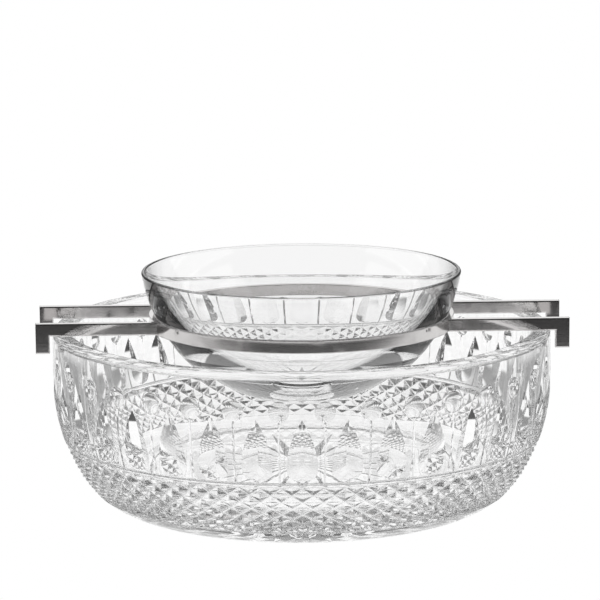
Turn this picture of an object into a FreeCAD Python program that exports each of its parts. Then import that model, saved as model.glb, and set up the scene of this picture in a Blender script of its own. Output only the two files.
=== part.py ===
"""A caviar server: a clear inner bowl carried over a cut crystal ice bowl.

The inner bowl sits in a plated ring. Four flat bars run out from the ring, lie
on the ice bowl's rim and turn down over it as hooks. Lengths are millimetres.
The origin is the middle of the foot, +Z is up and the bars run along X.
"""
import FreeCAD, Part
import math
import os
import re
import Sketcher

Vector = FreeCAD.Vector
Rotation = FreeCAD.Rotation
Placement = FreeCAD.Placement

# Driving sizes: alias, value, meaning
SIZES = [
    ("rim_radius", 120.0, "ice bowl, outside radius at the rim"),
    ("bowl_height", 87.1, "ice bowl, foot to rim"),
    ("wall", 9.5, "ice bowl, wall thickness at the rim"),
    ("inner_taper", 2.7, "lean of the inside wall above the shoulder, degrees"),
    ("inner_arc", 77.5, "ice bowl, radius of the inside wall's arc"),
    ("lip_outside", 3.4, "ice bowl, rounding of the rim's outer edge"),
    ("lip_inside", 2.6, "ice bowl, rounding of the rim's inner edge"),
    ("shoulder_height", 62.0, "height where the upright wall turns into the upper arc"),
    ("upper_arc", 87.0, "ice bowl, radius of the outline's upper arc"),
    ("arc_change", 17.1, "height where the upper arc gives way to the lower one"),
    ("lower_arc", 37.5, "ice bowl, radius of the outline's lower arc"),
    ("floor_height", 16.0, "ice bowl, height of the inside floor"),
    ("floor_round", 30.0, "ice bowl, rounding between the floor and the inside wall"),
    ("foot_width", 7.5, "width of the flat ring that the ice bowl stands on"),
    ("foot_recess", 1.5, "depth of the hollow inside the foot ring"),
    ("cut_turn", -1.8, "turn of the cut pattern about the upright axis, degrees"),
    ("cut_count", 36, "pointed ovals around the wall, and round hollows above them"),
    ("oval_height", 42.9, "height on the wall of a pointed oval's deepest place"),
    ("oval_depth", 4.0, "depth of a pointed oval there"),
    ("oval_slope", 62.0, "half angle of the pointed oval's V and of its round end, degrees"),
    ("oval_wheel", 266.0, "radius along the bottom of a pointed oval's V"),
    ("oval_sweep", 5.8, "length of that V, from the deepest place up, degrees"),
    ("hollow_ball", 8.0, "radius of the ball that cuts a round hollow"),
    ("hollow_height", 69.65, "height of the round hollows' middles"),
    ("hollow_depth", 1.7, "depth of a round hollow"),
    ("line_depth", 0.6, "depth of the fine upright line below a round hollow"),
    ("line_slope", 42.0, "half angle of the fine lines' V, degrees"),
    ("line_sweep", 17.6, "length of the fine upright line below the shoulder, degrees"),
    ("line_rise", 3.0, "length of it above the shoulder, into the round hollow, degrees"),
    ("band_height", 35.3, "height of the fine line around the wall"),
    ("band_depth", 0.8, "depth of the fine line around the wall"),
    ("diamond_top", 34.0, "height of the diamond cut's upper edge"),
    ("diamond_bottom", 8.3, "height of the diamond cut's lower edge"),
    ("diamond_count", 72, "diamonds in one row"),
    ("diamond_rows", 8, "rows of diamonds, each half a diamond off the last"),
    ("diamond_shrink", 0.75, "lowest row's height as a share of the highest row's"),
    ("diamond_depth", 2.1, "depth of the crossing cuts between diamonds"),
    ("diamond_ledge", 0.35, "step at the upper and lower edges of the diamond cut"),
    ("diamond_backing", 0.9, "glass left between the cuts and the joint behind them"),
    ("star_points", 24, "points of the star cut under the base"),
    ("star_radius", 62.0, "reach of the star's points"),
    ("star_notch", 24.0, "reach of the notches between the star's points"),
    ("star_depth", 3.0, "depth of the star at its middle"),
    ("caviar_radius", 77.0, "inner bowl, outside radius at the rim"),
    ("caviar_height", 113.8, "height of the inner bowl's rim"),
    ("caviar_curve", 77.8, "inner bowl, radius of the outside curve"),
    ("caviar_foot", 14.0, "inner bowl, radius of the flat underneath"),
    ("caviar_wall", 1.8, "inner bowl, wall thickness at the rim"),
    ("caviar_base", 8.5, "inner bowl, thickness at the middle"),
    ("ring_height", 6.0, "holder ring, height"),
    ("ring_wall", 2.4, "holder ring, thickness"),
    ("seat_clearance", 0.15, "gap between the inner bowl and the ring around it"),
    ("pin_hole", 0.5, "radius of the small holes in the ring"),
    ("pin_hole_drop", 1.25, "depth of the small holes below the ring's top edge"),
    ("pin_hole_left", 38.8, "turn of the holes beside one pair of bars, degrees"),
    ("pin_hole_right", 36.1, "turn of the holes beside the other pair, degrees"),
    ("bar_reach", 127.1, "outer end of a bar, from the middle"),
    ("bar_spread", 24.7, "outer face of a bar, from the middle"),
    ("bar_thickness", 4.2, "thickness of a bar"),
    ("hook_width", 6.7, "width of the hook at a bar's end"),
    ("hook_drop", 8.4, "reach of the hook below the bar"),
    ("bar_edge", 0.5, "rounding of a bar's edges"),
]

doc = FreeCAD.newDocument("caviar_server")
sheet = doc.addObject("Spreadsheet::Sheet", "Sizes")
for row, (alias, value, meaning) in enumerate(SIZES, start=1):
    sheet.set(f"A{row}", meaning)
    sheet.set(f"B{row}", str(value))
    sheet.setAlias(f"B{row}", alias)
doc.recompute()


def size(alias):
    """The plain number that the sheet holds under this alias."""
    return float(sheet.get(alias))


def expand(formula):
    """A formula with its [alias] names turned into references to the sheet."""
    return re.sub(r"\[(\w+)\]", r"Sizes.\1", formula)


def number(formula):
    """The value of a formula now."""
    return float(sheet.evalExpression(expand(formula)))


def bind(thing, path, formula):
    """Tie a property to a formula of the sheet."""
    thing.setExpression(path, expand(formula))


def arc_reach(centre, radius, height):
    """Formula for how far out an arc about this centre lies at a height."""
    return f"({centre[0]} + sqrt(({radius})^2 - ({centre[1]} - ({height}))^2))"


def new_body(name):
    """An empty body for one piece or blank."""
    body = doc.addObject("PartDesign::Body", name)
    body.Label = name
    return body


def origin_feature(body, role):
    """The body's own origin plane or axis with this role."""
    return next(item for item in body.Origin.OriginFeatures if item.Role == role)


ORIGIN = -1
START = 1
END = 2
CENTRE = 3


class Outline:
    """A sketch of a body, whose points and radii are formulas of the sheet."""

    def __init__(self, body, name, role):
        self.sketch = body.newObject("Sketcher::SketchObject", name)
        self.sketch.AttachmentSupport = [(origin_feature(body, role), "")]
        self.sketch.MapMode = "FlatFace"

    def lift(self, height, turn=None):
        """Raise the sketch off its plane, and turn it about the plane's normal."""
        self.sketch.AttachmentOffset = Placement(Vector(0, 0, 1), Rotation(Vector(0, 0, 1), 1))
        bind(self.sketch, "AttachmentOffset.Base.z", height)
        bind(self.sketch, "AttachmentOffset.Rotation.Angle", turn or "0")

    def measure(self, kind, where, formula):
        """A constraint whose size is a formula."""
        index = self.sketch.addConstraint(Sketcher.Constraint(kind, *where, number(formula)))
        bind(self.sketch, f"Constraints[{index}]", formula)

    def pin(self, geometry, end, point):
        """Fix one end of a line or arc at a point."""
        for kind, formula in (("DistanceX", point[0]), ("DistanceY", point[1])):
            if formula == "0":
                axis = -2 if kind == "DistanceX" else -1
                self.sketch.addConstraint(Sketcher.Constraint("PointOnObject", geometry, end, axis))
            else:
                self.measure(kind, (ORIGIN, START, geometry, end), formula)

    def loop(self, points, arcs=None):
        """A closed loop through points; arcs gives (centre, radius) by the point before."""
        arcs = arcs or {}
        ends = []
        for index, point in enumerate(points):
            here = Vector(number(point[0]), number(point[1]))
            after = points[(index + 1) % len(points)]
            there = Vector(number(after[0]), number(after[1]))
            if index not in arcs:
                line = self.sketch.addGeometry(Part.LineSegment(here, there), False)
                ends.append((line, START, END))
                continue
            centre, radius = arcs[index]
            middle = Vector(number(centre[0]), number(centre[1]))
            first = math.atan2(here.y - middle.y, here.x - middle.x)
            last = math.atan2(there.y - middle.y, there.x - middle.x)
            forward = (last - first) % math.tau < math.pi
            span = (first, last) if forward else (last, first)
            circle = Part.Circle(middle, Vector(0, 0, 1), number(radius))
            arc = self.sketch.addGeometry(Part.ArcOfCircle(circle, *span), False)
            ends.append((arc, START, END) if forward else (arc, END, START))
        for index, point in enumerate(points):
            piece, start, _ = ends[index]
            before, _, end = ends[index - 1]
            self.sketch.addConstraint(Sketcher.Constraint("Coincident", before, end, piece, start))
            self.pin(piece, start, point)
        for index, (_, radius) in arcs.items():
            self.measure("Radius", (ends[index][0],), radius)

    def circle(self, centre, radius):
        """A full circle."""
        middle = Vector(number(centre[0]), number(centre[1]))
        round_line = Part.Circle(middle, Vector(0, 0, 1), number(radius))
        geometry = self.sketch.addGeometry(round_line, False)
        self.pin(geometry, CENTRE, centre)
        self.measure("Radius", (geometry,), radius)

    def axis(self, start, end):
        """A construction line to turn the outline about."""
        line = Part.LineSegment(
            Vector(number(start[0]), number(start[1])), Vector(number(end[0]), number(end[1])))
        geometry = self.sketch.addGeometry(line, True)
        self.pin(geometry, START, start)
        self.pin(geometry, END, end)


def turned(body, name, outline, kind="PartDesign::Revolution", axis="V_Axis"):
    """Turn an outline fully about an axis of its sketch, to add or to cut."""
    feature = body.newObject(kind, name)
    feature.Profile = outline.sketch
    feature.ReferenceAxis = (outline.sketch, [axis])
    feature.Angle = 360
    outline.sketch.Visibility = False
    return feature


# The ice bowl's outline: an upright wall over two arcs that meet smoothly
UPPER_CENTRE = ("[rim_radius] - [upper_arc]", "[shoulder_height]")
CHANGE_SINE = "([shoulder_height] - [arc_change]) / [upper_arc]"
LOWER_CENTRE = (
    f"([rim_radius] - [upper_arc] + ([upper_arc] - [lower_arc]) * sqrt(1 - ({CHANGE_SINE})^2))",
    f"([shoulder_height] - ([upper_arc] - [lower_arc]) * {CHANGE_SINE})")


def upper_reach(height):
    """Formula for the outline's radius on the upper arc."""
    return arc_reach(UPPER_CENTRE, "[upper_arc]", height)


def lower_reach(height):
    """Formula for the outline's radius on the lower arc."""
    return arc_reach(LOWER_CENTRE, "[lower_arc]", height)


def ice_bowl_blank():
    """The bowl before the diamond cut, set back where the diamonds go."""
    body = new_body("ice_bowl_blank")
    outline = Outline(body, "bowl_outline", "XZ_Plane")
    foot = lower_reach("0")
    inner = "([rim_radius] - [wall])"
    back = "([diamond_depth] + [diamond_backing])"
    inner_top = "([bowl_height] - [lip_inside])"
    inner_shoulder = f"({inner} - ({inner_top} - [shoulder_height]) * tan([inner_taper]))"
    inner_centre = (
        f"({inner_shoulder} - [inner_arc] * cos([inner_taper]))",
        "([shoulder_height] + [inner_arc] * sin([inner_taper]))")
    # the rounding touches the floor and the inside arc
    round_height = "([floor_height] + [floor_round])"
    gap = "([inner_arc] - [floor_round])"
    rise = f"({inner_centre[1]} - {round_height})"
    round_reach = f"({inner_centre[0]} + sqrt({gap}^2 - {rise}^2))"
    touch_reach = f"({inner_centre[0]} + ({round_reach} - {inner_centre[0]}) * [inner_arc] / {gap})"
    touch_height = f"({inner_centre[1]} - {rise} * [inner_arc] / {gap})"
    points = [
        ("0", "[foot_recess]"),
        (f"({foot} - [foot_width] - [foot_recess])", "[foot_recess]"),
        (f"({foot} - [foot_width])", "0"),
        (foot, "0"),
        (lower_reach("[diamond_bottom]"), "[diamond_bottom]"),
        (f"({lower_reach('[diamond_bottom]')} - {back})", "[diamond_bottom]"),
        (f"({upper_reach('[diamond_top]')} - {back})", "[diamond_top]"),
        (upper_reach("[diamond_top]"), "[diamond_top]"),
        ("[rim_radius]", "[shoulder_height]"),
        ("[rim_radius]", "[bowl_height] - [lip_outside]"),
        ("[rim_radius] - [lip_outside]", "[bowl_height]"),
        (f"{inner} + [lip_inside]", "[bowl_height]"),
        (inner, inner_top),
        (inner_shoulder, "[shoulder_height]"),
        (touch_reach, touch_height),
        (round_reach, "[floor_height]"),
        ("0", "[floor_height]"),
    ]
    arcs = {
        3: (LOWER_CENTRE, "[lower_arc]"),
        7: (UPPER_CENTRE, "[upper_arc]"),
        9: (("[rim_radius] - [lip_outside]", "[bowl_height] - [lip_outside]"), "[lip_outside]"),
        11: ((f"{inner} + [lip_inside]", inner_top), "[lip_inside]"),
        13: (inner_centre, "[inner_arc]"),
        14: ((round_reach, round_height), "[floor_round]"),
    }
    outline.loop(points, arcs)
    turned(body, "bowl_turned", outline)
    return body


def cut_band(body):
    """A fine V line around the wall."""
    outline = Outline(body, "band_outline", "XZ_Plane")
    reach = upper_reach("[band_height]")
    spread = "[band_depth] * 2 * tan([line_slope])"
    outline.loop([
        (f"{reach} - [band_depth]", "[band_height]"),
        (f"{reach} + [band_depth]", f"[band_height] - {spread}"),
        (f"{reach} + [band_depth]", f"[band_height] + {spread}"),
    ])
    turned(body, "band_cut", outline, "PartDesign::Groove")


def oval_plane(body):
    """An upright frame for one pointed oval, turned to where the oval is."""
    plane = body.newObject("PartDesign::Plane", "oval_turn")
    plane.AttachmentSupport = [(origin_feature(body, "XY_Plane"), "")]
    plane.MapMode = "FlatFace"
    plane.AttachmentOffset = Placement(Vector(), Rotation(Vector(0, 0, 1), 1))
    bind(plane, "AttachmentOffset.Rotation.Angle", "[cut_turn]")
    return plane


def oval_section(body, name, plane):
    """A sketch square to the wall, with its origin at the oval's deepest place."""
    outline = Outline(body, name, "XY_Plane")
    outline.sketch.AttachmentSupport = [(plane, "")]
    outline.sketch.AttachmentOffset = Placement(Vector(1, 0, 1), Rotation(Vector(0, 1, 0), 1))
    lean = "(([shoulder_height] - [oval_height]) / [upper_arc])"
    reach = "([upper_arc] - [oval_depth])"
    bind(outline.sketch, "AttachmentOffset.Base.x", f"{UPPER_CENTRE[0]} + {reach} * sqrt(1 - {lean}^2)")
    bind(outline.sketch, "AttachmentOffset.Base.z", f"{UPPER_CENTRE[1]} - {reach} * {lean}")
    bind(outline.sketch, "AttachmentOffset.Rotation.Angle", f"asin({lean})")
    return outline


def cut_oval(body):
    """One pointed oval: a V that runs up to a point, and a round end below it."""
    plane = oval_plane(body)
    height = "(2 * [oval_depth])"
    half = f"({height} * tan([oval_slope]))"
    groove = oval_section(body, "oval_outline", plane)
    groove.loop([("0", "0"), (height, f"-{half}"), (height, half)])
    groove.axis(("[oval_wheel]", f"-{half}"), ("[oval_wheel]", half))
    feature = turned(body, "oval_cut", groove, "PartDesign::Groove", "Axis0")
    bind(feature, "Angle", "[oval_sweep]")
    end = oval_section(body, "oval_end_outline", plane)
    end.loop([("0", "0"), (height, "0"), (height, half)])
    return [feature, turned(body, "oval_end_cut", end, "PartDesign::Groove", "H_Axis")]


def cut_hollow(body):
    """One round hollow, halfway between two pointed ovals: the end of a ball."""
    outline = Outline(body, "hollow_outline", "XY_Plane")
    outline.lift("[hollow_height]", "[cut_turn] + 180 / [cut_count]")
    middle = "([rim_radius] - [hollow_depth] + [hollow_ball])"
    outline.loop(
        [(middle, "-[hollow_ball]"), (middle, "[hollow_ball]"), ("[rim_radius] - [hollow_depth]", "0")],
        {1: ((middle, "0"), "[hollow_ball]"), 2: ((middle, "0"), "[hollow_ball]")})
    outline.axis((middle, "-[hollow_ball]"), (middle, "[hollow_ball]"))
    return turned(body, "hollow_cut", outline, "PartDesign::Groove", "Axis0")


def cut_line(body):
    """One fine upright V line from a round hollow down the upper arc."""
    outline = Outline(body, "line_outline", "XY_Plane")
    outline.lift("[shoulder_height]", "[cut_turn] + 180 / [cut_count]")
    half = "([line_depth] * 2 * tan([line_slope]))"
    outer = "([rim_radius] + [line_depth])"
    outline.loop([("[rim_radius] - [line_depth]", "0"), (outer, f"-{half}"), (outer, half)])
    outline.axis((UPPER_CENTRE[0], f"-{half}"), (UPPER_CENTRE[0], half))
    feature = turned(body, "line_cut", outline, "PartDesign::Groove", "Axis0")
    feature.Type = "TwoAngles"
    bind(feature, "Angle", "[line_sweep]")
    bind(feature, "Angle2", "[line_rise]")
    return feature


def repeat_cuts(body, cuts):
    """The same cuts all around the bowl."""
    pattern = body.newObject("PartDesign::PolarPattern", "cuts_around")
    pattern.Originals = cuts
    pattern.Axis = (origin_feature(body, "Z_Axis"), [""])
    pattern.Angle = 360
    bind(pattern, "Occurrences", "[cut_count]")
    body.Tip = pattern
    return pattern


def bowl_outline_point(height):
    """Point and outward normal, as (reach, height), of the ice bowl's outline."""
    low = height < size("arc_change")
    centre = LOWER_CENTRE if low else UPPER_CENTRE
    radius = size("lower_arc") if low else size("upper_arc")
    middle = (number(centre[0]), number(centre[1]))
    rise = height - middle[1]
    run = math.sqrt(radius ** 2 - rise ** 2)
    return (middle[0] + run, height), (run / radius, rise / radius)


def diamond_heights():
    """Heights of the rows of tips: each row a little lower than the one above it.

    The steps follow the curve of the wall, and the upper and lower edges of the
    cut are half a step beyond the first and the last row.
    """
    rows = int(size("diamond_rows"))
    shrink = size("diamond_shrink")
    steps = [1 + (shrink - 1) * index / rows for index in range(rows + 1)]
    steps[0] /= 2
    steps[-1] /= 2
    top = size("diamond_top")
    drop = top - size("diamond_bottom")
    samples = 200
    heights = [top - drop * index / samples for index in range(samples + 1)]
    lengths = [0.0]
    for above, below in zip(heights, heights[1:]):
        a = bowl_outline_point(above)[0]
        b = bowl_outline_point(below)[0]
        lengths.append(lengths[-1] + math.dist(a, b))
    wanted = 0.0
    result = []
    for step in steps[:-1]:
        wanted += step * lengths[-1] / sum(steps)
        index = next(i for i, length in enumerate(lengths) if length >= wanted)
        share = (wanted - lengths[index - 1]) / (lengths[index] - lengths[index - 1])
        result.append(heights[index - 1] + share * (heights[index] - heights[index - 1]))
    return result


def faceted_solid(triangles):
    """A closed solid from flat faces, each a list of corners."""
    faces = [Part.Face(Part.makePolygon(list(corners) + [corners[0]])) for corners in triangles]
    shell = Part.makeShell(faces)
    shell.sewShape()
    solid = Part.makeSolid(shell)
    if solid.Volume < 0:
        solid.reverse()
    return solid


def diamond_ring():
    """The diamond cut: a ring of pointed tips between two sets of crossing cuts."""
    columns = 2 * int(size("diamond_count"))
    depth = size("diamond_depth")
    ledge = size("diamond_ledge")
    back = depth + 2 * size("diamond_backing")
    turn = math.radians(size("cut_turn"))

    def spot(reach, height, column):
        angle = turn + math.tau * column / columns
        return Vector(reach * math.cos(angle), reach * math.sin(angle), height)

    def edge(height, inset):
        reach = bowl_outline_point(height)[0][0] - inset
        return [spot(reach, height, column) for column in range(columns)]

    top, bottom = size("diamond_top"), size("diamond_bottom")
    rings = [edge(top, ledge)]
    for row, height in enumerate(diamond_heights()):
        place, normal = bowl_outline_point(height)
        ring = []
        for column in range(columns):
            inset = 0 if (row + column) % 2 == 1 else depth
            ring.append(spot(place[0] - inset * normal[0], place[1] - inset * normal[1], column))
        rings.append(ring)
    rings.append(edge(bottom, ledge))
    faces = []
    for row in range(len(rings) - 1):
        upper, lower = rings[row], rings[row + 1]
        for column in range(columns):
            after = (column + 1) % columns
            # the split runs from cut to cut, and beside an edge from the edge to the cut
            if (row + column) % 2 == 0:
                faces.append((upper[column], lower[column], upper[after]))
                faces.append((upper[after], lower[column], lower[after]))
            else:
                faces.append((upper[column], lower[after], upper[after]))
                faces.append((upper[column], lower[column], lower[after]))
    inner_top = edge(top, back)
    inner_bottom = edge(bottom, back)
    for column in range(columns):
        after = (column + 1) % columns
        faces.append((rings[0][after], inner_top[after], inner_top[column], rings[0][column]))
        faces.append((rings[-1][column], inner_bottom[column], inner_bottom[after], rings[-1][after]))
        faces.append((inner_top[after], inner_bottom[after], inner_bottom[column], inner_top[column]))
    feature = doc.addObject("Part::Feature", "diamond_ring")
    feature.Shape = faceted_solid(faces)
    return feature


def star_cutter():
    """The star under the base: flat facets from the middle out to points and notches."""
    points = int(size("star_points"))
    base = size("foot_recess")
    turn = math.radians(size("cut_turn"))
    middle = Vector(0, 0, base + size("star_depth"))
    below = Vector(0, 0, -size("star_depth"))
    rim = []
    for index in range(2 * points):
        reach = size("star_radius") if index % 2 == 0 else size("star_notch")
        angle = turn + math.pi * index / points
        rim.append(Vector(reach * math.cos(angle), reach * math.sin(angle), base))
    faces = []
    for index, here in enumerate(rim):
        there = rim[(index + 1) % len(rim)]
        faces.append((middle, here, there))
        faces.append((below, there, here))
    feature = doc.addObject("Part::Feature", "star_cutter")
    feature.Shape = faceted_solid(faces)
    return feature


def ice_bowl():
    """The cut crystal bowl that holds the ice, one piece of glass."""
    body = ice_bowl_blank()
    cut_band(body)
    repeat_cuts(body, cut_oval(body) + [cut_hollow(body), cut_line(body)])
    doc.recompute()
    joined = doc.addObject("Part::Fuse", "bowl_with_diamonds")
    joined.Base = body
    joined.Tool = diamond_ring()
    bowl = doc.addObject("Part::Cut", "ice_bowl")
    bowl.Label = "ice_bowl"
    bowl.Base = joined
    bowl.Tool = star_cutter()
    return bowl


# The inner bowl: an outside curve centred on its axis and a shallower inside one
CAVIAR_CENTRE = ("0", "([caviar_height] + sqrt([caviar_curve]^2 - [caviar_radius]^2))")
CAVIAR_BOTTOM = f"({CAVIAR_CENTRE[1]} - sqrt([caviar_curve]^2 - [caviar_foot]^2))"
RING_TOP = "([bowl_height] + [ring_height])"
RING_INSIDE = f"(sqrt([caviar_curve]^2 - ({CAVIAR_CENTRE[1]} - {RING_TOP})^2) + [seat_clearance])"
RING_OUTSIDE = f"({RING_INSIDE} + [ring_wall])"


def caviar_bowl():
    """The plain inner bowl: thin at the rim, thick and lens-like at the bottom."""
    body = new_body("caviar_bowl")
    outline = Outline(body, "caviar_outline", "XZ_Plane")
    inner = "([caviar_radius] - [caviar_wall])"
    rim_round = "([caviar_wall] / 2)"
    wall_top = f"([caviar_height] - {rim_round})"
    floor = f"({CAVIAR_BOTTOM} + [caviar_base])"
    rise = f"({wall_top} - {floor})"
    inner_curve = f"(({inner}^2 + {rise}^2) / (2 * {rise}))"
    outer_edge = arc_reach(CAVIAR_CENTRE, "[caviar_curve]", wall_top)
    points = [
        ("0", CAVIAR_BOTTOM),
        ("[caviar_foot]", CAVIAR_BOTTOM),
        (outer_edge, wall_top),
        (f"{outer_edge} - {rim_round}", f"{wall_top} + {rim_round}"),
        (f"{outer_edge} - [caviar_wall]", wall_top),
        ("0", floor),
    ]
    rim_middle = (f"{outer_edge} - {rim_round}", wall_top)
    arcs = {
        1: (CAVIAR_CENTRE, "[caviar_curve]"),
        2: (rim_middle, rim_round),
        3: (rim_middle, rim_round),
        4: (("0", f"({floor} + {inner_curve})"), inner_curve),
    }
    outline.loop(points, arcs)
    turned(body, "caviar_turned", outline)
    return body


def holder_ring():
    """The flat band that carries the inner bowl, with a small hole beside each bar."""
    body = new_body("holder_ring")
    outline = Outline(body, "ring_outline", "XZ_Plane")
    outline.loop([
        (RING_INSIDE, "[bowl_height]"),
        (RING_OUTSIDE, "[bowl_height]"),
        (RING_OUTSIDE, RING_TOP),
        (RING_INSIDE, RING_TOP),
    ])
    turned(body, "ring_turned", outline)
    for index, turn in enumerate(("[pin_hole_right]", "180 - [pin_hole_left]")):
        hole = Outline(body, f"pin_hole_outline_{index + 1}", "XZ_Plane")
        hole.circle(("0", f"{RING_TOP} - [pin_hole_drop]"), "[pin_hole]")
        hole.sketch.AttachmentOffset = Placement(Vector(), Rotation(Vector(0, 1, 0), 1))
        bind(hole.sketch, "AttachmentOffset.Rotation.Angle", f"{turn} + 90")
        pocket = body.newObject("PartDesign::Pocket", f"pin_holes_{index + 1}")
        pocket.Profile = hole.sketch
        pocket.Type = 1
        pocket.Midplane = True
        hole.sketch.Visibility = False
    return body


def bar(name, side, hand):
    """A flat bar from the ring over the ice bowl's rim, with its hook turned down.

    side is 1 for the back pair and -1 for the front pair, hand is 1 for +X.
    """
    body = new_body(name)
    outline = Outline(body, f"{name}_outline", "XZ_Plane")
    sign = "" if hand > 0 else "-1 * "
    root = f"{sign}({RING_INSIDE} / 2)"
    hook = f"{sign}([bar_reach] - [hook_width])"
    end = f"{sign}[bar_reach]"
    top = RING_TOP
    points = [
        (root, "[bowl_height]"),
        (hook, "[bowl_height]"),
        (hook, "[bowl_height] - [hook_drop]"),
        (end, "[bowl_height] - [hook_drop]"),
        (end, top),
        (root, top),
    ]
    outline.loop(points)
    outline.sketch.AttachmentOffset = Placement(Vector(0, 0, 1), Rotation())
    near_face = "([bar_spread] - [bar_thickness])"
    # the sketch faces -Y, so its offset has the opposite sign to Y
    lift = f"-{near_face} - [bar_thickness]" if side > 0 else near_face
    bind(outline.sketch, "AttachmentOffset.Base.z", lift)
    pad = body.newObject("PartDesign::Pad", f"{name}_flat")
    pad.Profile = outline.sketch
    bind(pad, "Length", "[bar_thickness]")
    outline.sketch.Visibility = False
    doc.recompute()
    edges = []
    root_reach = number(RING_INSIDE) / 2
    for index, edge in enumerate(pad.Shape.Edges, start=1):
        middle = edge.CenterOfMass
        along_bar_root = abs(abs(middle.x) - root_reach) < 0.01
        crosses = abs(edge.tangentAt(edge.FirstParameter).y) > 0.99
        if not along_bar_root and not crosses:
            edges.append(f"Edge{index}")
    soft = body.newObject("PartDesign::Fillet", f"{name}_edges")
    soft.Base = (pad, edges)
    bind(soft, "Radius", "[bar_edge]")
    pad.Visibility = False
    seat = Outline(body, f"{name}_seat_outline", "XY_Plane")
    seat.circle(("0", "0"), RING_OUTSIDE)
    seat.lift("[bowl_height] - [hook_drop]")
    pocket = body.newObject("PartDesign::Pocket", f"{name}_seat")
    pocket.Profile = seat.sketch
    pocket.Type = 1
    pocket.Midplane = True
    seat.sketch.Visibility = False
    return body


pieces = [ice_bowl(), caviar_bowl(), holder_ring()]
for side, end in ((-1, "front"), (1, "back")):
    for hand, flank in ((-1, "left"), (1, "right")):
        pieces.append(bar(f"bar_{end}_{flank}", side, hand))
doc.recompute()

for item in doc.Objects:
    if "Invalid" in item.State or "Error" in item.State:
        raise RuntimeError(f"{item.Label} did not build: {item.State}")
for piece in pieces:
    if piece.Shape.isNull() or not piece.Shape.isValid() or len(piece.Shape.Solids) != 1:
        raise RuntimeError(f"{piece.Label} is not one valid solid")

os.makedirs("parts", exist_ok=True)
for piece in pieces:
    piece.Shape.exportStep(f"parts/{piece.Label}.step")
    box = piece.Shape.BoundBox
    print(f"{piece.Label}: {piece.Shape.Volume:.0f} mm3, {len(piece.Shape.Faces)} faces, "
          f"x {box.XMin:.1f} to {box.XMax:.1f}, y {box.YMin:.1f} to {box.YMax:.1f}, "
          f"z {box.ZMin:.1f} to {box.ZMax:.1f}")
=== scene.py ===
"""The looks of a caviar server: a clear inner bowl on plated bars over a cut crystal ice bowl.

Lengths are metres, +Z is up, +Y is away from the viewer and the bars run along X.
"""
import bmesh
import bpy
import math
from mathutils import Matrix, Vector


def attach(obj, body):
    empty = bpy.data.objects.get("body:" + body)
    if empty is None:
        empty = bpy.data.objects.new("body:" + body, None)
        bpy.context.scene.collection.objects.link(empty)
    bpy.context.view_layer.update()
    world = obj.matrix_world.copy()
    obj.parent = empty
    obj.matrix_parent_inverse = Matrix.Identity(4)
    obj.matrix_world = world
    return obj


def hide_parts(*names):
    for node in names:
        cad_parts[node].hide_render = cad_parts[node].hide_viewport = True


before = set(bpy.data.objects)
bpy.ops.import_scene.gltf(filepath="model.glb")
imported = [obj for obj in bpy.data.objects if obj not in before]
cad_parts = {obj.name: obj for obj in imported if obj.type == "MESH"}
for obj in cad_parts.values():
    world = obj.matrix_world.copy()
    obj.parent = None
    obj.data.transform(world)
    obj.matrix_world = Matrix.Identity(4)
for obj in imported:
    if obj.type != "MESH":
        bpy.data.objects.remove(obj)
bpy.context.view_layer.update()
scene = bpy.context.scene

MM = 0.001
BARS = ("bar_front_left", "bar_front_right", "bar_back_left", "bar_back_right")

# The camera: where it looks, from how far and how high, and how much it takes in
CAMERA_DISTANCE = 1.60605
CAMERA_ELEVATION = math.radians(10.456)
CAMERA_AZIMUTH = math.radians(-1.751)
CAMERA_ROLL = math.radians(-0.375)
CAMERA_TARGET = Vector((-0.000648, 0, 0.098796))
CAMERA_NEAR = 0.1
CAMERA_FAR = 20
SENSOR_WIDTH = 36.0
PHOTO_WIDTH = 600.0
FOCAL_PIXELS = 3331.43

# The ice bowl's outside: an upright rim, two arcs below it and a foot around a hollow
RIM_RADIUS = 120 * MM
BOWL_HEIGHT = 87.1 * MM
LIP_OUTSIDE = 3.4 * MM
LIP_INSIDE = 2.6 * MM
SHOULDER_HEIGHT = 62 * MM
UPPER_ARC = 87 * MM
ARC_CHANGE = 17.1 * MM
LOWER_ARC = 37.5 * MM
FOOT_WIDTH = 7.5 * MM
FOOT_RECESS = 1.5 * MM

# The ice bowl's inside: a wall that leans in, an arc and a flat floor
WALL = 9.5 * MM
INNER_TAPER = math.radians(2.7)
INNER_ARC = 77.5 * MM
FLOOR_HEIGHT = 16 * MM
FLOOR_ROUND = 30 * MM

# Where the cuts start, and how many there are around
CUT_TURN = math.radians(-1.8)
CUT_COUNT = 36
HALF_CUT = math.pi / CUT_COUNT

# The pointed ovals, each ground by the edge of a large wheel
OVAL_HEIGHT = 42.9 * MM
OVAL_DEPTH = 4 * MM
OVAL_SLOPE = math.radians(62)
OVAL_WHEEL = 266 * MM
OVAL_HIGHEST = 80 * MM
OVAL_LOWEST = 20 * MM

# The round hollows between the ovals, and the fine upright line under each
HOLLOW_BALL = 8 * MM
HOLLOW_HEIGHT = 69.65 * MM
HOLLOW_DEPTH = 1.7 * MM
LINE_DEPTH = 0.6 * MM
LINE_SLOPE = math.radians(42)
LINE_OVERLAP = 0.04 * MM
WIDEST_CUT = 12 * MM

# The fine line around the bowl
BAND_HEIGHT = 35.3 * MM
BAND_DEPTH = 0.8 * MM

# The diamonds below it, smaller from row to row
DIAMOND_TOP = 34 * MM
DIAMOND_BOTTOM = 8.3 * MM
DIAMOND_COUNT = 72
DIAMOND_ROWS = 8
DIAMOND_SHRINK = 0.75
DIAMOND_DEPTH = 2.1 * MM
DIAMOND_LEDGE = 0.35 * MM

# The star under the base
STAR_POINTS = 24
STAR_RADIUS = 62 * MM
STAR_NOTCH = 24 * MM
STAR_DEPTH = 3 * MM

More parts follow.
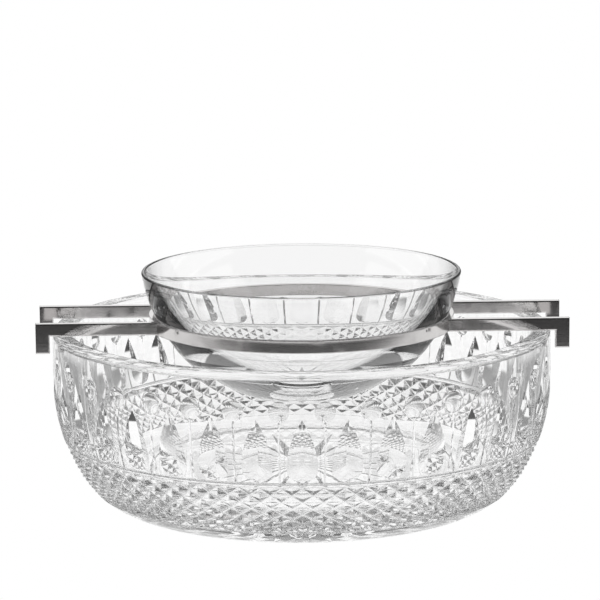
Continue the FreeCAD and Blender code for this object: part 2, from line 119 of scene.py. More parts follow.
# The inner bowl, thick like a lens at the bottom
CAVIAR_RADIUS = 77 * MM
CAVIAR_HEIGHT = 113.8 * MM
CAVIAR_CURVE = 77.8 * MM
CAVIAR_FOOT = 14 * MM
CAVIAR_WALL = 1.8 * MM
CAVIAR_BASE = 8.5 * MM

# How finely the smooth glass is divided
OVAL_STEPS = 5
WALL_STEPS = 3
GROOVE_STEPS = 4
ROW_STEP = 0.8 * MM
INSIDE_STEPS = 24
FLOOR_SHARES = (0.5, 0.1)
LIP_INSIDE_STEPS = 8
LIP_OUTSIDE_STEPS = 10
FOOT_STEPS = 6
CAVIAR_STEPS = 60
CAVIAR_RIM_STEPS = 10
PATH_SAMPLES = 400
HALVINGS = 48

# Short ways between rings where one form meets another
SUPPORT = 0.2 * MM
WALL_MARGIN = 0.5 * MM
LINE_MARGIN = 0.1 * MM
LINE_STEP = 0.02 * MM
BAND_MARGIN = 0.05 * MM

# Points closer than this are one, and joints flatter than this look round
WELD = 0.000002
SMOOTH_JOINT = math.radians(7)

# Marks of the faces: an edge between two marks may stay sharp
WALL_MARK = 0
OVAL_MARKS = (1, 2)
LINE_MARKS = (3, 4)
HOLLOW_MARK = 5
LINE_END_MARK = 6
BAND_MARKS = (7, 8)
LEDGE_MARK = 9
DIAMOND_MARK = 10
LOW_LEDGE_MARK = 11
FOOT_MARK = 12
STAND_MARK = 13
RECESS_MARK = 14
BASE_MARK = 15
STAR_MARK = 16
INSIDE_MARK = 17
CAVIAR_RIM_MARK = 18
CAVIAR_WALL_MARK = 19
CAVIAR_FOOT_MARK = 20
# the small facets, whose edges are worn round
ROUNDED_MARKS = (LINE_END_MARK, *BAND_MARKS, DIAMOND_MARK)

# Glass
CLEAR = (1, 1, 1)
CRYSTAL_IOR = 1.545
GLASS_IOR = 1.52
CUT_ROUND = 1.0 * MM
CUT_ROUND_SAMPLES = 4

# Plated metal: its brushing, its worn patches and its softened edges
METAL_COLOUR = (0.66, 0.645, 0.64)
METAL_ROUGHNESS = 0.05
BRUSH_ROUGHNESS = 0.07
BRUSH_ALONG = 60
BRUSH_ACROSS = 2200
BRUSH_DETAIL = 3
BRUSH_STRENGTH = 0.06
BRUSH_HEIGHT = 0.05 * MM
WEAR_ROUGHNESS = 0.12
WEAR_SCALE = 55
WEAR_DETAIL = 2
WEAR_START = 0.52
WEAR_FULL = 0.72
EDGE_ROUND = 0.55 * MM
EDGE_SAMPLES = 6

# Soft white panels in the dim room around the object, mirrored left and right:
# middle and half width from straight behind, lowest and highest place, brightness
PANELS = (
    (0, 118, -20, 60, 0.12),
    (0, 65, -20, 56, 0.2),
    (0, 12, 6, 56, 1.0),
    (80, 15, -3, 25, 1.0),
    (110, 16, 9, 25, 1.0),
    (50, 14, 25, 37, 1.0),
    (110, 14, 38, 54, 1.0),
)
PANEL_SOFTNESS = 3.0
DARK_ROOM = 0.02
WHITE = 1.0
ROOM_REACH = 6.0
ROOM_SEGMENTS = 48
ROOM_RINGS = 24

# The table, and the lit part of it with soft shades beside and behind the bowl
TABLE_REACH = 4.0
TABLE_LEVEL = -0.1 * MM
LIT_LEVEL = -0.05 * MM
LIT_REACH = 0.5
LIT_FADE = 0.1
LIT_BACK = 0.15
TABLE_DARK = 0.06
SHADE_START = 0.14
SHADE_END = 0.32
SHADE_ASIDE = 0.1
SHADE_FADE = 0.04
SHADE_DEPTH = 0.75

# How often light may turn on its way through the glass, and when a pixel is fine enough
GLASS_TURNS = 14
MIRROR_TURNS = 16
PIXEL_NOISE = 0.01

# The centres of the outside's two arcs, as (reach, height)
UPPER_CENTRE = (RIM_RADIUS - UPPER_ARC, SHOULDER_HEIGHT)
CHANGE_SINE = (SHOULDER_HEIGHT - ARC_CHANGE) / UPPER_ARC
LOWER_CENTRE = (
    UPPER_CENTRE[0] + (UPPER_ARC - LOWER_ARC) * math.sqrt(1 - CHANGE_SINE ** 2),
    SHOULDER_HEIGHT - (UPPER_ARC - LOWER_ARC) * CHANGE_SINE)

# The deepest point of an oval, and how far the wall leans there
LEAN = (SHOULDER_HEIGHT - OVAL_HEIGHT) / UPPER_ARC
LEVEL = math.sqrt(1 - LEAN ** 2)
OVAL_REACH = UPPER_CENTRE[0] + (UPPER_ARC - OVAL_DEPTH) * LEVEL
OVAL_PLACE = UPPER_CENTRE[1] - (UPPER_ARC - OVAL_DEPTH) * LEAN

# Where the hollows and the upright lines end
HOLLOW_RISE = math.sqrt(HOLLOW_BALL ** 2 - (HOLLOW_BALL - HOLLOW_DEPTH) ** 2)
HOLLOW_TOP = HOLLOW_HEIGHT + HOLLOW_RISE
LINE_TOP = HOLLOW_HEIGHT - HOLLOW_RISE + LINE_OVERLAP
BAND_SPREAD = BAND_DEPTH * math.tan(LINE_SLOPE)
BAND_TOP = BAND_HEIGHT + BAND_SPREAD


def place_camera():
    """The photograph's view of the object."""
    lens = bpy.data.cameras.new("camera")
    lens.sensor_width = SENSOR_WIDTH
    lens.lens = FOCAL_PIXELS / PHOTO_WIDTH * SENSOR_WIDTH
    lens.clip_start = CAMERA_NEAR
    lens.clip_end = CAMERA_FAR
    camera = bpy.data.objects.new("camera", lens)
    scene.collection.objects.link(camera)
    back = Vector((
        math.sin(CAMERA_AZIMUTH) * math.cos(CAMERA_ELEVATION),
        -math.cos(CAMERA_AZIMUTH) * math.cos(CAMERA_ELEVATION),
        math.sin(CAMERA_ELEVATION)))
    right = Vector((math.cos(CAMERA_AZIMUTH), math.sin(CAMERA_AZIMUTH), 0))
    up = back.cross(right)
    turned_right = right * math.cos(CAMERA_ROLL) + up * math.sin(CAMERA_ROLL)
    turned_up = up * math.cos(CAMERA_ROLL) - right * math.sin(CAMERA_ROLL)
    axes = Matrix((turned_right, turned_up, back)).transposed()
    camera.matrix_world = Matrix.Translation(CAMERA_TARGET + back * CAMERA_DISTANCE) @ axes.to_4x4()
    scene.camera = camera


class Shell:
    """Points and faces of one closed piece, gathered ring by ring."""

    def __init__(self):
        self.points = []
        self.faces = []
        self.marks = []
        self.flat = []

    def ring(self, points):
        """Add a ring of points and return their numbers."""
        start = len(self.points)
        self.points.extend(points)
        return range(start, start + len(points))

    def face(self, corners, mark, flat=False):
        """Add one face."""
        self.faces.append(corners)
        self.marks.append(mark)
        self.flat.append(flat)

    def join(self, upper, lower, marks):
        """Faces between two rings that have as many points; marks repeat around."""
        count = len(upper)
        for index in range(count):
            after = (index + 1) % count
            corners = (upper[index], lower[index], lower[after], upper[after])
            self.face(corners, marks[index % len(marks)])

    def fan(self, tip, ring, mark, flat=False):
        """Triangles between one point and a ring around it."""
        centre = self.ring([tip])[0]
        for index, corner in enumerate(ring):
            self.face((corner, centre, ring[(index + 1) % len(ring)]), mark, flat)

    def stitch(self, upper, upper_angles, lower, lower_angles, mark):
        """Triangles between two rings that have different points."""
        upper_turns = [*upper_angles, upper_angles[0] + math.tau]
        lower_turns = [*lower_angles, lower_angles[0] + math.tau]
        above = 0
        below = 0
        while above < len(upper) or below < len(lower):
            next_above = upper_turns[above + 1] if above < len(upper) else math.inf
            next_below = lower_turns[below + 1] if below < len(lower) else math.inf
            corners = [upper[above % len(upper)], lower[below % len(lower)]]
            if next_above <= next_below:
                above += 1
                corners.append(upper[above % len(upper)])
            else:
                below += 1
                corners.append(lower[below % len(lower)])
            self.face(corners, mark)

    def build(self, name):
        """The finished object: points that meet are joined and true edges stay sharp."""
        mesh = bpy.data.meshes.new(name)
        mesh.from_pydata(self.points, [], self.faces)
        work = bmesh.new()
        work.from_mesh(mesh)
        layer = work.faces.layers.int.new("mark")
        for face, mark, flat in zip(work.faces, self.marks, self.flat):
            face[layer] = mark
            face.smooth = not flat
            face.material_index = 1 if mark in ROUNDED_MARKS else 0
        bmesh.ops.remove_doubles(work, verts=work.verts, dist=WELD)
        bmesh.ops.dissolve_degenerate(work, edges=work.edges, dist=WELD / 2)
        bmesh.ops.recalc_face_normals(work, faces=work.faces)
        for edge in work.edges:
            if len(edge.link_faces) == 2:
                one, two = edge.link_faces
                if one[layer] != two[layer] and edge.calc_face_angle(0) > SMOOTH_JOINT:
                    edge.smooth = False
        work.faces.layers.int.remove(layer)
        work.to_mesh(mesh)
        work.free()
        piece = bpy.data.objects.new(name, mesh)
        scene.collection.objects.link(piece)
        return piece


def arc(centre, radius, first, last, steps):
    """Points (reach, height) along an arc, both ends included."""
    points = []
    for index in range(steps + 1):
        angle = first + (last - first) * index / steps
        points.append((centre[0] + radius * math.cos(angle), centre[1] + radius * math.sin(angle)))
    return points


def solve(value, low, high):
    """Where a function that falls from positive to negative is nought."""
    for _ in range(HALVINGS):
        middle = (low + high) / 2
        if value(middle) > 0:
            low = middle
        else:
            high = middle
    return (low + high) / 2


def outline(height):
    """Reach of the ice bowl's outside at a height, and its outward normal."""
    if height >= SHOULDER_HEIGHT:
        return RIM_RADIUS, (1, 0)
    low = height < ARC_CHANGE
    centre, radius = (LOWER_CENTRE, LOWER_ARC) if low else (UPPER_CENTRE, UPPER_ARC)
    rise = height - centre[1]
    run = math.sqrt(radius ** 2 - rise ** 2)
    return centre[0] + run, (run / radius, rise / radius)


def outline_point(height):
    """The outside's (reach, height) at a height."""
    return outline(height)[0], height


def oval_reach(aside, height):
    """Reach of a pointed oval's surface beside its middle plane: a V above a round end."""
    flare = math.tan(OVAL_SLOPE)
    rise = height - OVAL_PLACE
    wheel = OVAL_WHEEL - aside / flare
    square = wheel ** 2 - (rise + OVAL_WHEEL * LEAN) ** 2
    run = OVAL_WHEEL * LEVEL - math.sqrt(square)
    if run * LEAN + rise * LEVEL < 0:
        first = (flare * LEVEL) ** 2 - LEAN ** 2
        middle = rise * LEAN * LEVEL * (1 + flare ** 2)
        last = (rise * LEVEL) ** 2 + aside ** 2 - (flare * rise * LEAN) ** 2
        run = (middle + math.sqrt(middle ** 2 + first * last)) / first
    return OVAL_REACH + run


def hollow_reach(aside, height):
    """Reach of a round hollow's surface, beside its middle plane."""
    square = HOLLOW_BALL ** 2 - aside ** 2 - (height - HOLLOW_HEIGHT) ** 2
    middle = RIM_RADIUS - HOLLOW_DEPTH + HOLLOW_BALL
    return middle - math.sqrt(square) if square > 0 else middle


def line_reach(aside, height):
    """Reach of a fine upright line's facet, beside its middle plane."""
    depth = LINE_DEPTH - aside / math.tan(LINE_SLOPE)
    reach, normal = outline(height)
    return reach - depth / normal[0]


def half_width(cut, height):
    """Half the width of a cut where it meets the wall."""
    reach = outline(height)[0]
    if cut(0, height) >= reach:
        return 0.0
    return solve(lambda aside: math.sqrt(reach ** 2 - aside ** 2) - cut(aside, height), 0, WIDEST_CUT)


def half_cut_places(height, line):
    """Angles and reaches from an oval's middle to the middle of the groove beside it."""
    reach = outline(height)[0]
    oval = half_width(oval_reach, height)
    groove = hollow_reach
    hollow = 0.0
    if height > LINE_TOP:
        hollow = half_width(hollow_reach, height)
    elif line:
        groove = line_reach
        hollow = half_width(line_reach, height)
    places = []
    for step in range(OVAL_STEPS):
        aside = oval * step / OVAL_STEPS
        depth = oval_reach(aside, height) if oval else reach
        places.append((math.atan2(aside, depth), math.hypot(aside, depth)))
    first = math.asin(oval / reach)
    last = HALF_CUT - math.asin(hollow / reach)
    for step in range(WALL_STEPS):
        places.append((first + (last - first) * step / WALL_STEPS, reach))
    for step in range(GROOVE_STEPS + 1):
        aside = hollow * (1 - step / GROOVE_STEPS)
        depth = groove(aside, height) if hollow else reach
        places.append((HALF_CUT - math.atan2(aside, depth), math.hypot(aside, depth)))
    return places


def cut_ring(height, line=True):
    """One ring of the cut wall, with or without its upright lines."""
    places = half_cut_places(height, line)
    mirrored = [(2 * HALF_CUT - angle, out) for angle, out in places[:0:-1]]
    ring = []
    for cut in range(CUT_COUNT):
        start = CUT_TURN + 2 * HALF_CUT * cut
        for angle, out in places[:-1] + mirrored:
            ring.append((out * math.cos(start + angle), out * math.sin(start + angle), height))
    return ring


def cut_marks(height):
    """Marks of the faces above a cut ring, from one oval's middle to the next."""
    sides = (HOLLOW_MARK, HOLLOW_MARK) if height > LINE_TOP else LINE_MARKS
    half = [OVAL_MARKS[0]] * OVAL_STEPS + [WALL_MARK] * WALL_STEPS + [sides[0]] * GROOVE_STEPS
    other = [sides[1]] * GROOVE_STEPS + [WALL_MARK] * WALL_STEPS + [OVAL_MARKS[1]] * OVAL_STEPS
    return half + other


def plain_angles():
    """Angles of the points of a plain ring."""
    step = HALF_CUT / WALL_STEPS
    return [CUT_TURN + step * index for index in range(2 * CUT_COUNT * WALL_STEPS)]


def plain_ring(reach, height):
    """A plain round ring."""
    return [(reach * math.cos(angle), reach * math.sin(angle), height) for angle in plain_angles()]


def turned_rings(shell, profile, mark, above=None):
    """Plain rings along a profile, joined in order; returns the last ring."""
    for reach, height in profile:
        ring = shell.ring(plain_ring(reach, height))
        if above is not None:
            shell.join(above, ring, [mark])
        above = ring
    return above


def diamond_angles():
    """Angles of the diamonds' tips and of the cuts between them."""
    count = 2 * DIAMOND_COUNT
    return [CUT_TURN + math.tau * index / count for index in range(count)]


def diamond_heights():
    """Heights of the rows of tips, closer together further down."""
    steps = [1 + (DIAMOND_SHRINK - 1) * index / DIAMOND_ROWS for index in range(DIAMOND_ROWS + 1)]
    steps[0] /= 2
    steps[-1] /= 2
    drop = DIAMOND_TOP - DIAMOND_BOTTOM
    heights = [DIAMOND_TOP - drop * index / PATH_SAMPLES for index in range(PATH_SAMPLES + 1)]
    lengths = [0.0]
    for above, below in zip(heights, heights[1:]):
        lengths.append(lengths[-1] + math.dist(outline_point(above), outline_point(below)))
    rows = []
    wanted = 0.0
    for step in steps[:-1]:
        wanted += step * lengths[-1] / sum(steps)
        index = next(place for place, length in enumerate(lengths) if length >= wanted)
        share = (wanted - lengths[index - 1]) / (lengths[index] - lengths[index - 1])
        rows.append(heights[index - 1] + share * (heights[index] - heights[index - 1]))
    return rows


def diamond_ring(height, normal, insets):
    """A ring of the diamonds' corners, set in from the outline by turns."""
    reach = outline(height)[0]
    ring = []
    for index, angle in enumerate(diamond_angles()):
        inset = insets[index % len(insets)]
        out = reach - inset * normal[0]
        ring.append((out * math.cos(angle), out * math.sin(angle), height - inset * normal[1]))
    return ring


def ice_bowl_profile():
    """The inside from the lip's inner end down to near the middle of the floor."""
    reach = RIM_RADIUS - WALL
    top = BOWL_HEIGHT - LIP_INSIDE
    drop = math.tan(INNER_TAPER)
    low_reach = reach - (top - SHOULDER_HEIGHT) * drop
    centre = (
        low_reach - INNER_ARC * math.cos(INNER_TAPER),
        SHOULDER_HEIGHT + INNER_ARC * math.sin(INNER_TAPER))
    round_height = FLOOR_HEIGHT + FLOOR_ROUND
    gap = INNER_ARC - FLOOR_ROUND
    fall = centre[1] - round_height
    round_centre = (centre[0] + math.sqrt(gap ** 2 - fall ** 2), round_height)
    touch = -math.asin(fall / gap)
    profile = [(reach, top), (reach - SUPPORT * drop, top - SUPPORT)]
    profile += arc(centre, INNER_ARC, -INNER_TAPER, touch, INSIDE_STEPS)
    profile += arc(round_centre, FLOOR_ROUND, touch, -math.pi / 2, INSIDE_STEPS)[1:]
    profile += [(round_centre[0] * share, FLOOR_HEIGHT) for share in FLOOR_SHARES]
    return profile


def ice_bowl_inside(shell, rim):
    """The rounded rim, the inner wall and the floor, from the rim's outer ring inwards."""
    outer_lip = (RIM_RADIUS - LIP_OUTSIDE, BOWL_HEIGHT - LIP_OUTSIDE)
    inner_lip = (RIM_RADIUS - WALL + LIP_INSIDE, BOWL_HEIGHT - LIP_INSIDE)
    profile = arc(outer_lip, LIP_OUTSIDE, 0, math.pi / 2, LIP_OUTSIDE_STEPS)[1:]
    profile += arc(inner_lip, LIP_INSIDE, math.pi / 2, math.pi, LIP_INSIDE_STEPS)[:-1]
    profile += ice_bowl_profile()
    last = turned_rings(shell, profile, INSIDE_MARK, rim)
    shell.fan((0, 0, FLOOR_HEIGHT), last, INSIDE_MARK)


def wall_heights():
    """Heights of the cut wall's rings, closer together at the hollows."""
    oval_top = solve(lambda height: outline(height)[0] - oval_reach(0, height), OVAL_HEIGHT, OVAL_HIGHEST)
    oval_foot = -solve(lambda fall: outline(-fall)[0] - oval_reach(0, -fall), -OVAL_HEIGHT, -OVAL_LOWEST)
    levels = {
        HOLLOW_TOP + WALL_MARGIN, HOLLOW_TOP, LINE_TOP + LINE_STEP, LINE_TOP - LINE_STEP,
        oval_top, SHOULDER_HEIGHT, max(oval_foot, BAND_TOP + BAND_MARGIN), BAND_TOP}
    levels = sorted(levels, reverse=True)
    heights = []
    for above, below in zip(levels, levels[1:]):
        hollows = above <= HOLLOW_TOP and below >= LINE_TOP - LINE_MARGIN
        step = ROW_STEP / 2 if hollows else ROW_STEP
        count = max(1, round((above - below) / step))
        heights += [above + (below - above) * index / count for index in range(count)]
    return heights + [BAND_TOP]


def cut_wall(shell, rim):
    """The ovals, hollows and upright lines below the rim; returns the last, plain ring."""
    heights = wall_heights()
    upper_wall = [(RIM_RADIUS, BOWL_HEIGHT - LIP_OUTSIDE - SUPPORT), (RIM_RADIUS, heights[0])]
    turned_rings(shell, upper_wall, WALL_MARK, rim)
    above = shell.ring(cut_ring(heights[0]))
    for height in heights[1:]:
        ring = shell.ring(cut_ring(height))
        shell.join(above, ring, cut_marks(height))
        above = ring
    ends = shell.ring(cut_ring(BAND_TOP, line=False))
    shell.join(above, ends, [LINE_END_MARK])
    return shell.ring(plain_ring(*outline_point(BAND_TOP)))


def band(shell, above):
    """The fine line around and the strip below it; returns the strip's lower ring."""
    bottom = outline_point(BAND_HEIGHT)[0] - BAND_DEPTH
    above = turned_rings(shell, [(bottom, BAND_HEIGHT)], BAND_MARKS[0], above)
    above = turned_rings(shell, [outline_point(BAND_HEIGHT - BAND_SPREAD)], BAND_MARKS[1], above)
    return turned_rings(shell, [outline_point(DIAMOND_TOP)], WALL_MARK, above)


def diamonds(shell, above):
    """The rows of diamonds, four flat facets each; returns the ring below them."""
    level = (1, 0)
    top = shell.ring(diamond_ring(DIAMOND_TOP, level, (DIAMOND_LEDGE,)))
    shell.stitch(above, plain_angles(), top, diamond_angles(), LEDGE_MARK)
    rings = [top]
    for row, height in enumerate(diamond_heights()):
        insets = (0, DIAMOND_DEPTH) if row % 2 else (DIAMOND_DEPTH, 0)
        rings.append(shell.ring(diamond_ring(height, outline(height)[1], insets)))
    rings.append(shell.ring(diamond_ring(DIAMOND_BOTTOM, level, (DIAMOND_LEDGE,))))
    for row, (upper, lower) in enumerate(zip(rings, rings[1:])):
        for column in range(len(upper)):
            after = (column + 1) % len(upper)
            if (row + column) % 2 == 0:
                shell.face((upper[column], lower[column], upper[after]), DIAMOND_MARK, True)
                shell.face((upper[after], lower[column], lower[after]), DIAMOND_MARK, True)
            else:
                shell.face((upper[column], lower[after], upper[after]), DIAMOND_MARK, True)
                shell.face((upper[column], lower[column], lower[after]), DIAMOND_MARK, True)
    return rings[-1]


def foot(shell, above):
    """The smooth foot and the step into the hollow under it; returns the hollow's ring."""
    profile = []
    for index in range(FOOT_STEPS + 1):
        profile.append(outline_point(DIAMOND_BOTTOM * (1 - index / FOOT_STEPS)))
    top = shell.ring(plain_ring(*profile[0]))
    shell.stitch(above, diamond_angles(), top, plain_angles(), LOW_LEDGE_MARK)
    stand = profile[-1][0] - FOOT_WIDTH
    last = turned_rings(shell, profile[1:], FOOT_MARK, top)
    last = turned_rings(shell, [(stand, 0)], STAND_MARK, last)
    return turned_rings(shell, [(stand - FOOT_RECESS, FOOT_RECESS)], RECESS_MARK, last)


def base_star(shell, above):
    """The star cut into the base."""
    angles = [CUT_TURN + math.pi * index / STAR_POINTS for index in range(2 * STAR_POINTS)]
    points = []
    for index, angle in enumerate(angles):
        reach = STAR_NOTCH if index % 2 else STAR_RADIUS
        points.append((reach * math.cos(angle), reach * math.sin(angle), FOOT_RECESS))
    star = shell.ring(points)
    shell.stitch(above, plain_angles(), star, angles, BASE_MARK)
    shell.fan((0, 0, FOOT_RECESS + STAR_DEPTH), star, STAR_MARK, True)


def ice_bowl_mesh():
    """The cut crystal bowl, with every cut as a true facet."""
    shell = Shell()
    rim = shell.ring(plain_ring(RIM_RADIUS, BOWL_HEIGHT - LIP_OUTSIDE))
    ice_bowl_inside(shell, rim)
    ring = cut_wall(shell, rim)
    ring = band(shell, ring)
    ring = diamonds(shell, ring)
    ring = foot(shell, ring)
    base_star(shell, ring)
    return shell.build("cut_ice_bowl")


def caviar_bowl_mesh():
    """The plain inner bowl, thick like a lens at the bottom."""
    centre_height = CAVIAR_HEIGHT + math.sqrt(CAVIAR_CURVE ** 2 - CAVIAR_RADIUS ** 2)
    bottom = centre_height - math.sqrt(CAVIAR_CURVE ** 2 - CAVIAR_FOOT ** 2)
    rim_round = CAVIAR_WALL / 2
    wall_top = CAVIAR_HEIGHT - rim_round
    outer_edge = math.sqrt(CAVIAR_CURVE ** 2 - (centre_height - wall_top) ** 2)
    floor_height = bottom + CAVIAR_BASE
    rise = wall_top - floor_height
    inner = outer_edge - CAVIAR_WALL
    inner_curve = (inner ** 2 + rise ** 2) / (2 * rise)
    inner_top = math.atan2(wall_top - floor_height - inner_curve, inner)
    outer_top = math.atan2(wall_top - centre_height, outer_edge)
    outer_foot = math.atan2(bottom - centre_height, CAVIAR_FOOT)
    outside = arc((0, centre_height), CAVIAR_CURVE, outer_foot, outer_top, CAVIAR_STEPS)
    rim = arc((outer_edge - rim_round, wall_top), rim_round, 0, math.pi, CAVIAR_RIM_STEPS)[1:]
    inside = arc((0, floor_height + inner_curve), inner_curve, inner_top, -math.pi / 2, CAVIAR_STEPS)[1:-1]
    shell = Shell()
    ring = shell.ring(plain_ring(*outside[0]))
    shell.fan((0, 0, bottom), ring, CAVIAR_FOOT_MARK)
    ring = turned_rings(shell, outside[1:], CAVIAR_WALL_MARK, ring)
    ring = turned_rings(shell, rim, CAVIAR_RIM_MARK, ring)
    ring = turned_rings(shell, inside, INSIDE_MARK, ring)
    shell.fan((0, 0, floor_height), ring, INSIDE_MARK)
    return shell.build("clear_caviar_bowl")


class Recipe:
    """A new material, and short ways to add nodes to it."""

    def __init__(self, name):
        self.material = bpy.data.materials.new(name)
        self.material.use_nodes = True
        self.nodes = self.material.node_tree.nodes
        self.links = self.material.node_tree.links
        self.nodes.clear()
        self.surface = self.add("ShaderNodeOutputMaterial").inputs["Surface"]

    def add(self, kind, **settings):
        """A new node with its properties set."""
        node = self.nodes.new(kind)
        for name, value in settings.items():
            setattr(node, name, value)
        return node

    def put(self, socket, value):
        """Link an output, or set a fixed value."""
        if isinstance(value, bpy.types.NodeSocket):
            self.links.new(value, socket)
        else:
            socket.default_value = value

    def maths(self, operation, first, second=0.0):
        """One sum."""
        node = self.add("ShaderNodeMath", operation=operation)
        self.put(node.inputs[0], first)
        self.put(node.inputs[1], second)
        return node.outputs[0]

    def length(self, vector):
        """The length of a vector."""
        node = self.add("ShaderNodeVectorMath", operation="LENGTH")
        self.put(node.inputs[0], vector)
        return node.outputs["Value"]

    def split(self, vector):
        """A vector's three parts."""
        node = self.add("ShaderNodeSeparateXYZ")
        self.put(node.inputs["Vector"], vector)
        return node.outputs["X"], node.outputs["Y"], node.outputs["Z"]

    def fade(self, value, low, high):
        """Nought below the low value, one above the high one, and smooth between."""
        node = self.add("ShaderNodeMapRange", interpolation_type="SMOOTHSTEP")
        self.put(node.inputs["Value"], value)
        self.put(node.inputs["From Min"], low)
        self.put(node.inputs["From Max"], high)
        return node.outputs["Result"]

    def noise(self, vector, scale, detail):
        """Soft noise."""
        node = self.add("ShaderNodeTexNoise")
        self.put(node.inputs["Vector"], vector)
        self.put(node.inputs["Scale"], scale)
        self.put(node.inputs["Detail"], detail)
        return node.outputs["Fac"]

    def round_edges(self, radius, samples):
        """A normal that turns smoothly where two faces meet."""
        node = self.add("ShaderNodeBevel", samples=samples)
        self.put(node.inputs["Radius"], radius)
        return node.outputs["Normal"]


def glass(name, ior, rounding=0.0):
    """Clear polished glass, with the edges between its facets worn a little round."""
    recipe = Recipe(name)
    shader = recipe.add("ShaderNodeBsdfPrincipled")
    recipe.put(shader.inputs["Base Color"], (*CLEAR, 1))
    recipe.put(shader.inputs["Roughness"], 0.0)
    recipe.put(shader.inputs["IOR"], ior)
    recipe.put(shader.inputs["Transmission Weight"], 1.0)
    if rounding:
        recipe.put(shader.inputs["Normal"], recipe.round_edges(rounding, CUT_ROUND_SAMPLES))
    recipe.put(recipe.surface, shader.outputs["BSDF"])
    return recipe.material


def brushing(recipe, place, around):
    """Fine marks drawn out along the bars, or around the ring."""
    along, aside, rise = recipe.split(place)
    across = BRUSH_ACROSS
    if around:
        along = recipe.maths("MULTIPLY", recipe.maths("ARCTAN2", aside, along), CAVIAR_RADIUS)
        across = 0
    grain = recipe.add("ShaderNodeCombineXYZ")
    recipe.put(grain.inputs["X"], recipe.maths("MULTIPLY", along, BRUSH_ALONG))
    recipe.put(grain.inputs["Y"], recipe.maths("MULTIPLY", aside, across))
    recipe.put(grain.inputs["Z"], recipe.maths("MULTIPLY", rise, BRUSH_ACROSS))
    return recipe.noise(grain.outputs["Vector"], 1, BRUSH_DETAIL)


def plated_metal(name, around):
    """Bright plated metal, finely brushed along the bars or around the ring."""
    recipe = Recipe(name)
    place = recipe.add("ShaderNodeTexCoord").outputs["Object"]
    marks = brushing(recipe, place, around)
    worn = recipe.fade(recipe.noise(place, WEAR_SCALE, WEAR_DETAIL), WEAR_START, WEAR_FULL)
    rough = recipe.maths("ADD", recipe.maths("MULTIPLY", marks, BRUSH_ROUGHNESS), METAL_ROUGHNESS)
    rough = recipe.maths("ADD", rough, recipe.maths("MULTIPLY", worn, WEAR_ROUGHNESS))
    relief = recipe.add("ShaderNodeBump")
    recipe.put(relief.inputs["Strength"], BRUSH_STRENGTH)
    recipe.put(relief.inputs["Distance"], BRUSH_HEIGHT)
    recipe.put(relief.inputs["Height"], marks)
    recipe.put(relief.inputs["Normal"], recipe.round_edges(EDGE_ROUND, EDGE_SAMPLES))
    shader = recipe.add("ShaderNodeBsdfPrincipled")
    recipe.put(shader.inputs["Base Color"], (*METAL_COLOUR, 1))
    recipe.put(shader.inputs["Metallic"], 1.0)
    recipe.put(shader.inputs["Roughness"], rough)
    recipe.put(shader.inputs["Normal"], relief.outputs["Normal"])
    recipe.put(recipe.surface, shader.outputs["BSDF"])
    return recipe.material


def make_glow(recipe, strength):
    """Let a material only glow, with the given strength."""
    glow = recipe.add("ShaderNodeEmission")
    recipe.put(glow.inputs["Color"], (1, 1, 1, 1))
    recipe.put(glow.inputs["Strength"], strength)
    recipe.put(recipe.surface, glow.outputs["Emission"])


def stage_piece(name, mesh, material):
    """A piece of the studio, which isn't part of the object."""
    piece = bpy.data.objects.new(name, mesh)
    scene.collection.objects.link(piece)
    mesh.materials.append(material)
    return piece


def backdrop():
    """Plain white all around."""
    world = bpy.data.worlds.new("backdrop")
    scene.world = world
    world.use_nodes = True
    sheet = world.node_tree.nodes["Background"]
    sheet.inputs["Color"].default_value = (1, 1, 1, 1)
    sheet.inputs["Strength"].default_value = WHITE


def panel_light(recipe):
    """How bright the room is in each direction from its middle."""
    aim = recipe.add("ShaderNodeVectorMath", operation="NORMALIZE")
    recipe.put(aim.inputs[0], recipe.add("ShaderNodeTexCoord").outputs["Object"])
    across, behind, rise = recipe.split(aim.outputs["Vector"])
    turn = recipe.maths("ABSOLUTE", recipe.maths("ARCTAN2", across, behind))
    aside = recipe.maths("MULTIPLY", turn, math.degrees(1))
    height = recipe.maths("MULTIPLY", recipe.maths("ARCSINE", rise), math.degrees(1))
    soft = PANEL_SOFTNESS / 2
    light = DARK_ROOM
    for middle, half, low, high, level in PANELS:
        off = recipe.maths("ABSOLUTE", recipe.maths("SUBTRACT", aside, middle))
        inside = recipe.fade(off, half + soft, half - soft)
        above = recipe.fade(height, low - soft, low + soft)
        below = recipe.fade(height, high + soft, high - soft)
        share = recipe.maths("MULTIPLY", recipe.maths("MULTIPLY", inside, above), below)
        light = recipe.maths("MAXIMUM", light, recipe.maths("MULTIPLY", share, level))
    return light


def room():
    """White panels and dark cards around the set, out of the camera's view."""
    mesh = bpy.data.meshes.new("room")
    work = bmesh.new()
    bmesh.ops.create_uvsphere(work, u_segments=ROOM_SEGMENTS, v_segments=ROOM_RINGS, radius=ROOM_REACH)
    work.to_mesh(mesh)
    work.free()
    recipe = Recipe("panels")
    make_glow(recipe, panel_light(recipe))
    stage_piece("room", mesh, recipe.material).visible_camera = False


def table_mesh(name, height):
    """A wide flat square."""
    mesh = bpy.data.meshes.new(name)
    corners = [(x * TABLE_REACH, y * TABLE_REACH, height) for x, y in ((-1, -1), (1, -1), (1, 1), (-1, 1))]
    mesh.from_pydata(corners, [], [(0, 1, 2, 3)])
    return mesh


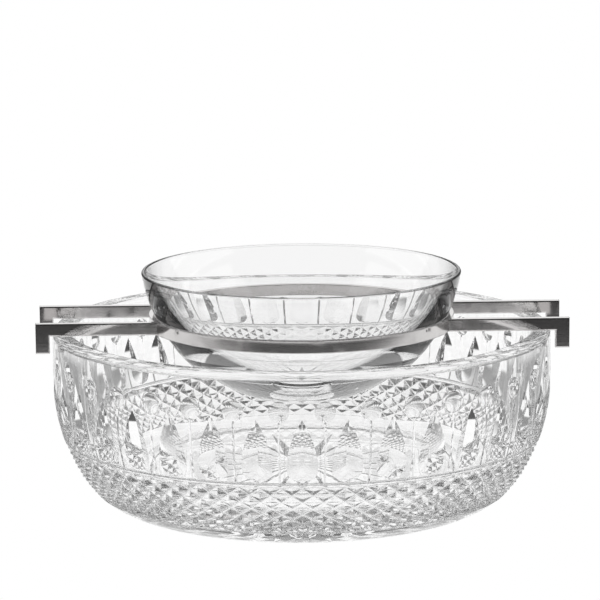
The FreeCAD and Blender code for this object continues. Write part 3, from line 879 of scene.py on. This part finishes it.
def table_glow(recipe):
    """The lit part of the table, darker beside and behind the bowl."""
    spot = recipe.add("ShaderNodeTexCoord").outputs["Object"]
    shift = recipe.add("ShaderNodeVectorMath", operation="SUBTRACT")
    recipe.put(shift.inputs[0], spot)
    recipe.put(shift.inputs[1], (0, LIT_BACK, 0))
    reach = recipe.length(shift.outputs["Vector"])
    lit = recipe.maths("MAXIMUM", recipe.fade(reach, LIT_REACH + LIT_FADE, LIT_REACH), TABLE_DARK)
    across, behind, _ = recipe.split(spot)
    beside = recipe.maths("ABSOLUTE", across)
    out = recipe.length(spot)
    shade = recipe.fade(out, SHADE_START, SHADE_START + SHADE_FADE)
    shade = recipe.maths("MULTIPLY", shade, recipe.fade(out, SHADE_END, SHADE_END - SHADE_FADE))
    shade = recipe.maths("MULTIPLY", shade, recipe.fade(beside, SHADE_ASIDE, SHADE_ASIDE + SHADE_FADE))
    shade = recipe.maths("MULTIPLY", shade, recipe.fade(behind, -SHADE_FADE, SHADE_FADE))
    kept = recipe.maths("SUBTRACT", 1, recipe.maths("MULTIPLY", shade, SHADE_DEPTH))
    return recipe.maths("MULTIPLY", lit, kept)


def table():
    """A plain white table, and the light on it that glass and metal show."""
    white = Recipe("white_table")
    make_glow(white, WHITE)
    stage_piece("table", table_mesh("table", TABLE_LEVEL), white.material)
    lit = Recipe("table_light")
    make_glow(lit, table_glow(lit))
    stage_piece("table_light", table_mesh("table_light", LIT_LEVEL), lit.material).visible_camera = False


def dress(node, material):
    """Give a node of the frame its finish."""
    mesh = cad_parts[node].data
    mesh.materials.clear()
    mesh.materials.append(material)


place_camera()
backdrop()
room()
table()

ice_bowl = ice_bowl_mesh()
ice_bowl.data.materials.append(glass("cut_crystal", CRYSTAL_IOR))
ice_bowl.data.materials.append(glass("cut_facets", CRYSTAL_IOR, CUT_ROUND))
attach(ice_bowl, "root")
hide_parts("ice_bowl")

caviar_bowl = caviar_bowl_mesh()
caviar_bowl.data.materials.append(glass("clear_glass", GLASS_IOR))
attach(caviar_bowl, "root")
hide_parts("caviar_bowl")

dress("holder_ring", plated_metal("plated_ring", True))
bar_metal = plated_metal("plated_bars", False)
for bar in BARS:
    dress(bar, bar_metal)

scene.view_settings.view_transform = "Standard"
scene.cycles.max_bounces = GLASS_TURNS
scene.cycles.transmission_bounces = GLASS_TURNS
scene.cycles.glossy_bounces = MIRROR_TURNS
scene.cycles.use_denoising = True
scene.cycles.use_adaptive_sampling = True
scene.cycles.adaptive_threshold = PIXEL_NOISE
